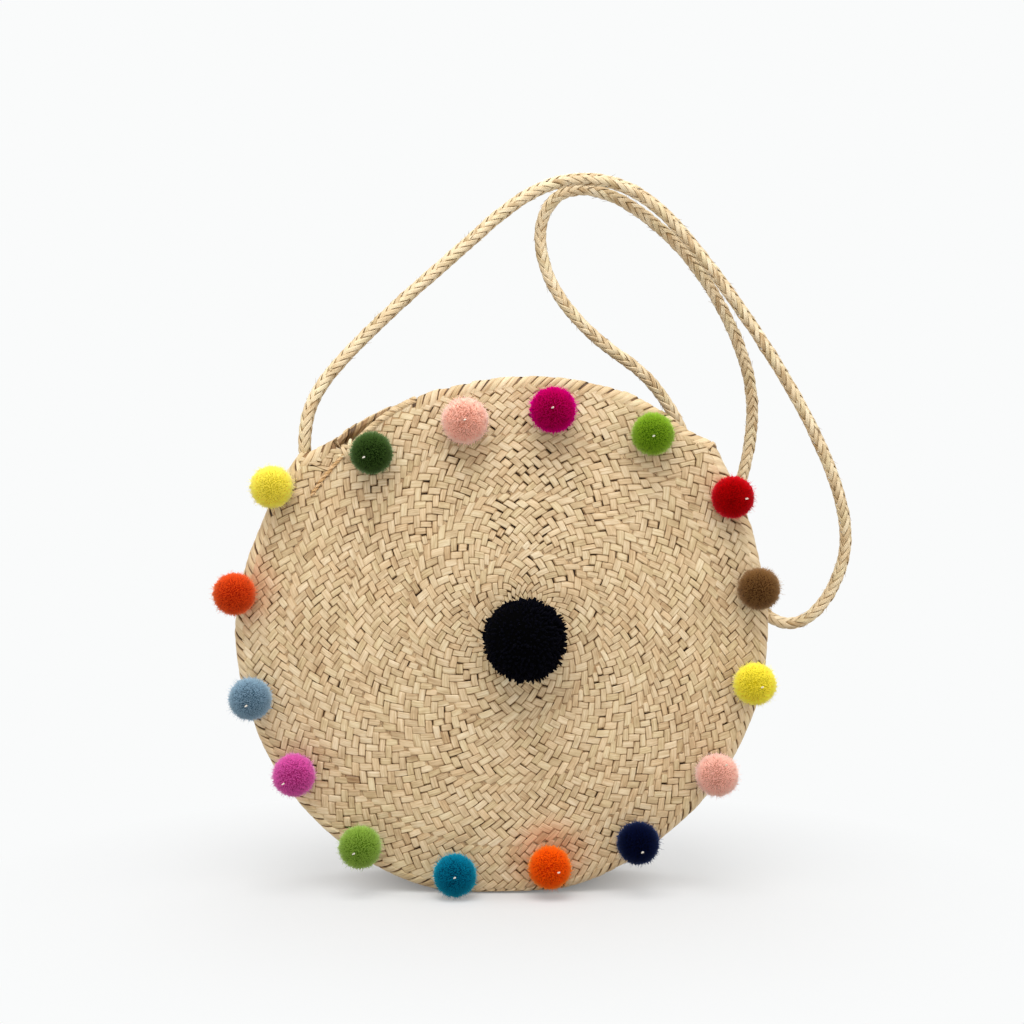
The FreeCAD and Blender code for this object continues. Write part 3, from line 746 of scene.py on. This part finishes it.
def hand_shaped(piece, pulls):
    """Pulls a woven piece out or in round the bag, fading towards the middle of the face."""
    spots = np.empty(len(piece.data.vertices) * 3, dtype=np.float32)
    piece.data.vertices.foreach_get("co", spots)
    spots = spots.reshape(-1, 3)
    above = spots[:, 2] - CENTRE_HEIGHT * MM
    reach = np.hypot(spots[:, 0], above)
    angle = np.degrees(np.arctan2(spots[:, 0], above)) % 360.0
    fade = np.clip(reach / (DISC_RADIUS * MM), 0.0, 1.1) ** 2
    share = np.interp(angle, *np.array(pulls).T) * MM * fade / np.maximum(reach, 1e-6)
    spots[:, 0] += spots[:, 0] * share
    spots[:, 2] = np.maximum(spots[:, 2] + above * share, np.minimum(spots[:, 2], 0.0005))
    piece.data.vertices.foreach_set("co", spots.ravel())
    piece.data.update()


def carried_frames(line):
    """Normals carried along a line without twisting, and the third directions."""
    tangents = unit(np.gradient(line, axis=0))
    normals = np.empty_like(line)
    normal = np.array([0.0, -1.0, 0.0])
    for place, tangent in enumerate(tangents):
        normal = unit(normal - normal.dot(tangent) * tangent)
        normals[place] = normal
    return normals, np.cross(tangents, normals)


def turned_out(turn, normals, others):
    """Directions out of a line at a turn round it."""
    return np.cos(turn)[:, None] * normals + np.sin(turn)[:, None] * others


def twisted_cord(name, line, radius, ply, pitch, material, seed):
    """Two strands of leaf or raffia twisted round each other along a line in mm."""
    chance = np.random.default_rng(seed)
    line, run = evened(line, 0.7, 8)
    normals, others = carried_frames(line)
    outs = []
    for strand in range(2):
        uneven = np.interp(run, np.linspace(0, run[-1], 12), chance.normal(0.0, 1.0, 12))
        turn = 2 * np.pi * run / pitch + math.pi * strand + 0.25 * uneven
        outs.append(turned_out(turn, normals, others))
    outs = np.stack(outs)
    fade = np.minimum(np.minimum(run, run[-1] - run) / 3.0 + 0.35, 1.0)
    return strand_piece(name, line + radius * outs, outs, 1.25 * ply * fade, 0.8 * ply * fade, 0.8, run,
                        [0.2, 0.7], [0.25, 0.45], material)


def slit_stitches(name, material, rows, seed):
    """Stitches laid across the slit: place down from its head, slope, half length and size of each."""
    chance = np.random.default_rng(seed)
    head, foot = np.array(SLIT_HEAD), np.array(SLIT_FOOT)
    way = unit(foot - head)
    beside = np.array([-way[1], way[0]])
    share = np.linspace(-1.0, 1.0, 13)
    lines, sizes = [], []
    for rank, (place, slope, half, size) in enumerate(rows):
        spot = head + way * place + share[:, None] * half * (beside + slope * way)
        spot = spot + chance.normal(0.0, 0.15, 2)
        lift = -1.1 + (2.4 * size + 0.7 * rank * (size > 1.0)) * (1.0 - share ** 2) ** 0.6
        lines.append(face_place(spot[:, 0], spot[:, 1], lift))
        sizes.append(size * (0.55 + 0.45 * (1.0 - share ** 2) ** 0.4))
    lines, sizes = np.stack(lines), np.stack(sizes)
    up = np.broadcast_to(np.array([0.0, -1.0, 0.0]), lines.shape)
    own = chance.random(len(lines))
    tints = chance.uniform(0.05, 0.5, len(lines))
    return strand_piece(name, lines, up, sizes * 1.25, sizes * 0.7, 0.85, share * 5.0, own, tints, material)


def strap_line():
    """Even points along the strap's middle line, read from its smooth curve, in mm."""
    curve = bpy.data.curves.new("strap_middle", "CURVE")
    curve.dimensions = "3D"
    curve.resolution_u = 16
    spline = curve.splines.new("NURBS")
    spline.points.add(len(STRAP_ROUTE) - 1)
    for point, place in zip(spline.points, STRAP_ROUTE):
        point.co = (*[value * MM for value in place], 1.0)
    spline.order_u = 3
    spline.use_endpoint_u = True
    shown = bpy.data.objects.new("strap_middle", curve)
    bpy.context.scene.collection.objects.link(shown)
    mesh = bpy.data.meshes.new_from_object(shown)
    rough = np.empty(len(mesh.vertices) * 3)
    mesh.vertices.foreach_get("co", rough)
    bpy.data.meshes.remove(mesh)
    bpy.data.objects.remove(shown)
    return evened(rough.reshape(-1, 3) * 1000.0, 1.6)


def braid_strands(chance, line, run, normals, others):
    """Flat strands, half of them winding each way and crossing two over two, with leaf places and tints."""
    paths, outs, tints, own = [], [], [], []
    for hand in (1.0, -1.0):
        for strand in range(BRAID_STRANDS):
            turn = hand * 2 * np.pi * run / BRAID_LEAD + 2 * np.pi * strand / BRAID_STRANDS
            wave = np.cos(2 * turn - math.pi / 4)
            uneven = np.interp(run, np.linspace(0, run[-1], 120), chance.normal(0.0, 1.0, 120))
            rise = BRAID_WAVE * np.tanh(1.8 * wave) / math.tanh(1.8)
            radius = BRAID_RADIUS + hand * rise + 0.16 * uneven
            radius = radius * np.minimum(np.minimum(run, run[-1] - run) / 14.0 + 0.3, 1.0)
            out = turned_out(turn, normals, others)
            paths.append(line + radius[:, None] * out)
            outs.append(out)
            patchy = np.interp(run, np.linspace(0, run[-1], 160), chance.normal(0.0, 0.12, 160))
            # Where a strand dips under those that cross it, its tint gets a painted shade
            tints.append(BRAID_TINT + patchy + BRAID_UNDER_PAINTED_SHADE * np.maximum(-hand * wave, 0.0))
            own.append(chance.random())
    paths, outs = np.stack(paths), np.stack(outs)
    points, faces = sweep(paths, outs, STRAND_HALF_WIDTH, STRAND_HALF_THICKNESS, square=0.75)
    leaf = strand_leaf(run, 2.5, own)
    grid = points.reshape(leaf.shape)
    away = ((grid - paths[:, :, None]) ** 2).sum(-1)
    grid = grid - outs[:, :, None] * (away / 10.0)[..., None]
    tint = np.broadcast_to(np.stack(tints)[:, :, None], leaf.shape[:3])
    return grid.reshape(-1, 3), faces, leaf.reshape(-1, 3), tint.ravel()


def loose_fibres(chance, line, normals, others):
    """Short fibres that stand off the braid, and their tints."""
    roots = chance.integers(20, len(line) - 20, STRAP_FIBRES)
    turn = chance.uniform(0.0, 2 * np.pi, STRAP_FIBRES)
    out = turned_out(turn, normals[roots], others[roots])
    ahead = unit(line[roots + 1] - line[roots - 1])
    long = chance.uniform(2.0, 5.5, (STRAP_FIBRES, 1))
    rise = chance.uniform(0.9, 2.8, (STRAP_FIBRES, 1))
    places = [line[roots] + out * (FIBRE_ROOT + rise * share ** 1.3) + ahead * long * share
              for share in (0, 0.5, 1)]
    side = np.repeat(out[:, None], 3, 1)
    points, faces = sweep(np.stack(places, 1), side, [0.34, 0.3, 0.12], [0.2, 0.16, 0.08], 3)
    return points, faces, np.repeat(chance.uniform(0.35, 0.95, STRAP_FIBRES), 9)


def braided_strap(material):
    """Round braid of flat palm strands over a core painted dark as shade, its middle line and the distance
    along that.
    """
    line, run = strap_line()
    normals, others = carried_frames(line)
    chance = np.random.default_rng(41)
    braid, braid_faces, braid_leaf, braid_tint = braid_strands(chance, line, run, normals, others)
    core, core_faces = sweep(line[None, ::4], normals[None, ::4], 3.0, 3.0, 6)
    fibre, fibre_faces, fibre_tint = loose_fibres(chance, line, normals, others)
    points, faces = joined((braid, braid_faces), (core, core_faces), (fibre, fibre_faces))
    leaf = np.concatenate([braid_leaf, np.zeros((len(core) + len(fibre), 3))])
    # The core takes the darkest tone: painted shade seen between the strands
    tint = np.concatenate([braid_tint, np.full(len(core), 1.0), fibre_tint])
    return mesh_piece("strap_braid", points, faces, material, leaf=leaf, tint=tint), line, run


def ball_spots(count):
    """Even spots on a unit ball."""
    rank = np.arange(count) + 0.5
    height = 1.0 - 2.0 * rank / count
    turn = rank * math.pi * (3.0 - math.sqrt(5.0))
    level = np.sqrt(1.0 - height ** 2)
    return np.stack([level * np.cos(turn), height, level * np.sin(turn)], -1)


def yarn_ends(chance, radii, count, yarn, lumpy, ragged):
    """Cut ends of yarn all over a ball, how near its tip each point is, and a tint for each end."""
    spots = unit(ball_spots(count) + chance.normal(0.0, 0.5 / math.sqrt(count), (count, 3)))
    lobes = unit(chance.normal(0.0, 1.0, (7, 3)))
    uneven = lumpy * np.sin(3.0 * spots @ lobes.T).mean(1)
    seat = np.clip((spots[:, 1] - 0.55) / 0.35, 0.0, 1.0)
    cut = ragged * np.clip(chance.normal(0.0, 1.0, count), -2.0, 1.5)
    reach = (0.98 + uneven + cut) * (1.0 - 0.06 * seat)
    bend = chance.normal(0.0, 0.04, (count, 3)) * 5.0
    lines = [(spots + bend * (share - 0.8)) * (reach * share)[:, None] * radii for share in YARN_SHARES]
    side = np.repeat(np.cross(spots, chance.normal(0.0, 1.0, (count, 3)))[:, None], 3, 1)
    size = yarn * (1.0 + 0.18 * chance.normal(0.0, 1.0, count))[:, None] * np.array([1.0, 0.95, 0.5])
    sides = 4 if yarn > 0.6 else 3
    points, faces = sweep(np.stack(lines, 1), side, size, size, sides)
    tips = np.repeat(np.tile([0.15, 0.75, 1.0], count), sides)
    return points, faces, tips, np.repeat(chance.random(count), 3 * sides)


def loose_hairs(chance, radii, count):
    """Fine hairs that stand out of the yarn."""
    stray = unit(ball_spots(count) + chance.normal(0.0, 0.2, (count, 3)))
    curl = chance.normal(0.0, 0.10, (count, 3))
    long = (0.99 + np.abs(chance.normal(0.0, 0.015, count))) * np.where(stray[:, 1] > 0.6, 0.93, 1.0)
    lines = [(stray + curl * bent) * (long * share)[:, None] * radii
             for share, bent in ((0.93, 0.0), (0.97, 0.35), (1.0, 0.9))]
    side = np.repeat(np.cross(stray, chance.normal(0.0, 1.0, (count, 3)))[:, None], 3, 1)
    thin = np.broadcast_to(np.array([0.10, 0.09, 0.05]), (count, 3))
    return sweep(np.stack(lines, 1), side, thin, thin, 3)


def yarn_core(radii):
    """The ball under the yarn's ends."""
    rings, around = 15, 24
    polar = np.linspace(0.0, math.pi, rings + 2)[1:-1, None]
    swing = 2 * np.pi * np.arange(around) / around
    ball = np.broadcast_arrays(np.sin(polar) * np.cos(swing), np.cos(polar), np.sin(polar) * np.sin(swing))
    index = np.arange(rings * around).reshape(rings, around)
    caps = np.stack([index[0][::-1], index[-1]])
    return np.stack(ball, -1).reshape(-1, 3) * radii * CORE_SHARE, [ring_quads(index)[:, OTHER_WAY], caps]


def pompom(radii, ends, yarn, lumpy, ragged, hairs, seed):
    """Ball of cut yarn about the origin, seated towards +Y: points, faces, tips, tints and normals."""
    chance = np.random.default_rng(seed)
    radii = np.array(radii)
    tuft, tuft_faces, tips, tints = yarn_ends(chance, radii, ends, yarn, lumpy, ragged)
    hair, hair_faces = loose_hairs(chance, radii, hairs)
    core, core_faces = yarn_core(radii)
    points, faces = joined((tuft, tuft_faces), (hair, hair_faces), (core, core_faces))
    # The core takes the roots' painted shade: tip 0 and a darker tint
    tips = np.concatenate([tips, np.full(len(hair), 1.0), np.zeros(len(core))])
    tints = np.concatenate([tints, np.full(len(hair), 0.8), np.full(len(core), 0.3)])
    return points, faces, tips, tints, unit(points / radii ** 2)


def thread_end(name, middle, radius, spot, material):
    """The two cut ends of a tie thread that stand out of a pompom's yarn."""
    across, above = spot
    way = np.array([across, -math.sqrt(radius ** 2 - across ** 2 - above ** 2), above])
    lines = []
    for lean in (0.5, -0.6):
        aside = np.array([lean, 0.0, 0.5 * lean]) * 8.0
        shares = (0.88, 0.95, 1.0, 1.035)
        lines.append([np.array(middle) + way * share + aside * (share - 0.9) for share in shares])
    lines = np.array(lines)
    side = np.broadcast_to(np.array([0.3, 0.0, 1.0]), lines.shape)
    size = np.array([[0.55, 0.6, 0.7, 0.45], [0.4, 0.45, 0.5, 0.3]])
    points, faces = sweep(lines, side, size, size)
    return mesh_piece(name, points, faces, material)


def camera():
    """The photograph's level view from the front."""
    lens = bpy.data.cameras.new("camera")
    lens.lens = CAMERA_LENS
    lens.sensor_width = SENSOR_WIDTH
    made = bpy.data.objects.new("camera", lens)
    made.location = CAMERA_PLACE
    made.rotation_euler = (math.pi / 2, 0.0, 0.0)
    bpy.context.scene.collection.objects.link(made)
    bpy.context.scene.camera = made


def lamp(name, place, aim_height, size, power):
    """A square soft light that faces a point above the middle of the floor."""
    light = bpy.data.lights.new(name, "AREA")
    light.size = size
    light.energy = power
    made = bpy.data.objects.new(name, light)
    made.location = place
    made.rotation_euler = (Vector((0.0, 0.0, aim_height)) - Vector(place)).to_track_quat("-Z", "Y").to_euler()
    bpy.context.scene.collection.objects.link(made)
    return made


def seen_directly(tree):
    """1 for what is seen itself, in a shine or through glass, and 0 for light that falls on the bag."""
    path = add_node(tree, "LightPath").outputs
    shine = reckoned(tree, "MAXIMUM", path["Is Camera Ray"], path["Is Glossy Ray"])
    return reckoned(tree, "MAXIMUM", shine, path["Is Transmission Ray"])


def white_paper():
    """Matt paper that is seen as white away from the bag and takes its shadow close to it."""
    made, tree = empty_material("white_paper")
    skin = add_node(tree, "BsdfDiffuse", {"Color": linear(PAPER_GREY)})
    place = add_node(tree, "NewGeometry").outputs["Position"]
    away = add_node(tree, "VectorMath", {0: place}, operation="LENGTH").outputs["Value"]
    from_foot = add_node(tree, "VectorMath", {0: place, 1: BAG_FOOT}, operation="DISTANCE").outputs["Value"]
    under = ranged(tree, from_foot, 0.07, 0.13, 0.4, 1.0)
    glow = reckoned(tree, "MULTIPLY", ranged(tree, away, 0.05, 0.42, 0.36, 1.0), under)
    share = reckoned(tree, "MULTIPLY", seen_directly(tree), glow)
    white = add_node(tree, "Emission", {"Color": linear(SURROUND_WHITE), "Strength": 1.0})
    both = add_node(tree, "MixShader", {0: share, 1: skin.outputs["BSDF"], 2: white.outputs[0]})
    add_node(tree, "OutputMaterial", {"Surface": both.outputs[0]})
    return made


def surround():
    """White all round, which lights the bag less than it shows."""
    world = bpy.data.worlds.new("surround")
    world.use_nodes = True
    tree = world.node_tree
    tree.nodes.clear()
    glow = add_node(tree, "Background", {"Color": (1, 1, 1, 1), "Strength": SURROUND_LIGHT})
    white = add_node(tree, "Background", {"Color": linear(SURROUND_WHITE), "Strength": 1.0})
    both = add_node(tree, "MixShader", {0: seen_directly(tree), 1: glow.outputs[0], 2: white.outputs[0]})
    add_node(tree, "OutputWorld", {"Surface": both.outputs[0]})
    bpy.context.scene.world = world


def studio():
    """Pale paper that sweeps up from floor to wall, with soft light from above, the front and both sides."""
    depth, height = np.array(PAPER_LINE, dtype=float).T
    across = np.array([-PAPER_HALF_WIDTH, PAPER_HALF_WIDTH])
    points = np.stack(np.broadcast_arrays(across, depth[:, None], height[:, None] - PAPER_DROP), -1)
    quads = grid_quads(np.arange(len(depth) * 2).reshape(-1, 2))[:, OTHER_WAY]
    floor = mesh_piece("paper_sweep", points.reshape(-1, 3), [quads], white_paper())
    surround()
    lamps = [lamp("top_light", (-0.1, -1.15, 2.0), 0.15, 1.6, 40.5),
             lamp("left_light", (-1.6, -0.7, 0.9), 0.2, 1.4, 8.0),
             lamp("right_light", (1.6, -0.7, 0.9), 0.2, 1.4, 10.0),
             lamp("front_light", (0.2, -2.3, 1.0), 0.2, 1.6, 9.0),
             lamp("back_light", (0.0, 1.15, 1.7), 0.2, 0.9, 12.0)]


def on_bag(piece, node=None):
    """Shapes a woven piece by hand and puts it on the bag and in its solid's place."""
    hand_shaped(piece, BACK_PULL if piece.name.startswith("back") else FRONT_PULL)
    if node:
        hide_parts(node)
    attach(piece, "bag")


def on_both_sides(piece, node="", back_material=None):
    """Puts a piece on the bag, and a copy turned half round the upright axis on its other side."""
    name = piece.name.replace("front_", "back_").replace("_right_", "_left_")
    twin = bpy.data.objects.new(name, piece.data.copy())
    twin.data.transform(Matrix.Rotation(math.pi, 4, "Z"))
    bpy.context.scene.collection.objects.link(twin)
    if back_material:
        twin.data.materials[0] = back_material
    on_bag(piece, node)
    on_bag(twin, node.replace("front_", "back_"))


camera()
bpy.context.scene.view_settings.view_transform = "Standard"

straw = palm_leaf("palm_leaf_straw", STRAW_TONES)
dyed_straw = palm_leaf("palm_leaf_straw_with_dye", STRAW_TONES, stained=True)
edging = palm_leaf("palm_leaf_edging", EDGING_TONES)
braid_leaf = palm_leaf("palm_leaf_braid", BRAID_TONES)
raffia = palm_leaf("brown_raffia", RAFFIA_TONES)
# Near-black brown layer that paints the shade seen in the plait's holes
shade = dull("shaded_palm_leaf", "33241A")
thread = dull("cotton_thread", "E6DFD0")

strap, middle_line, middle_run = braided_strap(braid_leaf)
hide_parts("strap")
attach(strap, "strap")

# Faces: the spiral plait in two parts, outside and inside, and what shows between its strips: a layer of
# painted shade and the seam lacing
for part, first, last in (("inner", 0, MID_LEAF), ("outer", MID_LEAF, LAST_LEAF)):
    outside = plaited("front_face_" + part + "_plait", spiral_place, first, last, PLAIT_COLUMNS, dyed_straw,
                      3 + first, left_to_selvedge)
    inside = plaited("front_face_" + part + "_lining_side", lining_place, first, last, PLAIT_COLUMNS, straw,
                     4 + first, cut_off, level=INNER_LEVEL, side=-1.0)
    on_both_sides(outside, "front_panel", straw)
    on_both_sides(inside)
on_both_sides(backing("front_face_thickness", spiral_place, SPIRAL_LEAVES[-1] - 3.0,
                      (-0.45, PLAIT_COLUMNS - 0.35), shade))
on_both_sides(backing("front_face_seam_lacing", spiral_place, LAST_SEAM,
                      (PLAIT_COLUMNS - 0.55, PLAIT_COLUMNS + 0.55), straw, -0.62, -1.0))

# Edges of the faces: slanted strips over a filled edge
on_both_sides(selvedge("front_lip_selvedge", edge_place, SLACK_RUN * 0.72, LIP_RUN, LIP_PATH, edging, 5,
                       spacing=6.2, width=4.6), "front_lip_edge")
on_both_sides(selvedge("front_rim_selvedge", edge_place, LIP_RUN, RIM_RUN, RIM_PATH, edging, 6,
                       spacing=8.0, width=5.4), "front_seam_cord")
on_both_sides(selvedge("front_ear_selvedge", edge_place, RIM_RUN, EAR_RUN - 9.0, LIP_PATH, edging, 9,
                       spacing=6.2, width=4.4))
# The fillings' dark tints paint the shade seen between the selvedge strips
for name, slot_name, first, last, path, tint in (
        ("front_slack_lip_filling", "palm_selvedge", 3.0, SLACK_RUN * 0.74, LIP_FILLING, 0.6),
        ("front_lip_filling", "palm_selvedge", SLACK_RUN * 0.7, LIP_RUN + 17.0, LIP_FILLING, 0.95),
        ("front_rim_filling", "palm_lacing", LIP_RUN + 16.0, RIM_RUN - 13.0, RIM_FILLING, 0.95),
        ("front_ear_filling", "palm_selvedge", RIM_RUN - 14.0, EAR_RUN - 4.0, LIP_FILLING, 0.75)):
    on_both_sides(edge_band(name, edge_place, first, last, path, edging, tint))

# Corner beside the ear: the lip's slack cord, raffia and stitches down the slit, leaf ends at its head
slack_line = edge_place(np.linspace(-1.0, SLACK_RUN * 0.78, 40), np.full(40, 0.8), np.full(40, -0.9))
slit_line = face_place(*(np.linspace(SLIT_HEAD, SLIT_FOOT, 30) * 1.002).T, np.full(30, 0.9))
STITCHES = [(9.0, 1.0, 2.8, 0.7), (19.0, 1.1, 2.6, 0.65), (30.0, 1.0, 2.6, 0.7), (40.0, 0.3, 3.0, 0.65)]
LEAF_ENDS = [(-1.0, 1.5, 4.6, 1.15), (-3.0, -0.5, 6.2, 1.1), (2.5, 0.4, 5.6, 1.2), (5.0, -0.7, 4.0, 1.0)]
on_both_sides(twisted_cord("front_slack_lip_cord", slack_line, 1.5, 1.75, 12.0, edging, 21))
on_both_sides(twisted_cord("front_corner_raffia", slit_line, 0.75, 0.75, 8.5, raffia, 22),
              "front_corner_stitching")
on_both_sides(slit_stitches("front_corner_stitches", raffia, STITCHES, 23))
on_both_sides(slit_stitches("front_corner_leaf_ends", edging, LEAF_ENDS, 24))

# Side wall and the folded edge at each of its ends
on_bag(plaited("side_wall_plait", wall_place, 0, WALL_LEAVES, WALL_COLUMNS, straw, 7),
       "gusset_band")
on_bag(plaited("side_wall_lining_side", wall_place, 0, WALL_LEAVES, WALL_COLUMNS, straw, 8,
               level=INNER_LEVEL, side=-1.0))
# A layer of painted shade in the wall's holes
on_bag(backing("side_wall_thickness", wall_place, WALL_LEAVES, (-0.15, WALL_COLUMNS + 0.15), shade))
on_both_sides(selvedge("side_wall_right_selvedge", wall_end_place, 2.0, SIDE_WALL_WIDTH - 6.0, LIP_PATH,
                       edging, 10, spacing=6.2, width=4.6))
# Dark tint of the filling: painted shade between the selvedge strips
on_both_sides(edge_band("side_wall_right_filling", wall_end_place, 0.0, SIDE_WALL_WIDTH, LIP_FILLING,
                        edging, 0.85))

# Pompoms: three balls of fine yarn shared by the small ones, and a flatter, ragged one in the middle
small_balls = [pompom([SMALL_POMPOM / 2] * 3, ends=3400, yarn=0.42, lumpy=0.02, ragged=0.005, hairs=2400,
                      seed=seed) for seed in (11, 12, 13)]
large_ball = pompom([30.4, 23.5, 30.4], ends=1700, yarn=1.1, lumpy=0.09, ragged=0.012, hairs=200, seed=14)
for rank, (name, (code, spot)) in enumerate(POMPOM_WOOL.items()):
    large = name == "centre"
    node = "pompom_" + name
    middle, size = middle_and_size(node)
    points, faces, tips, tints, outward = large_ball if large else small_balls[rank % 3]
    points = points if large else points * (size.x / SMALL_POMPOM)
    slot_name = "wool_" + SHARED_WOOL.get(name, name)
    yarn = wool(slot_name + "_" + name, code, 0.1 if large else 1.0)
    ball = mesh_piece(node + "_yarn", points + np.array(middle), faces, yarn, sharp=180.0,
                      normals=None if large else outward, tip=tips, tint=tints)
    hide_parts(node)
    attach(ball, node)
    if spot:
        tie_end = thread_end(node + "_tie_end", middle, size.x / 2, spot, thread)
        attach(tie_end, node)

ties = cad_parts["pompom_ties"]
ties.data.materials.clear()
ties.data.materials.append(thread)

studio()
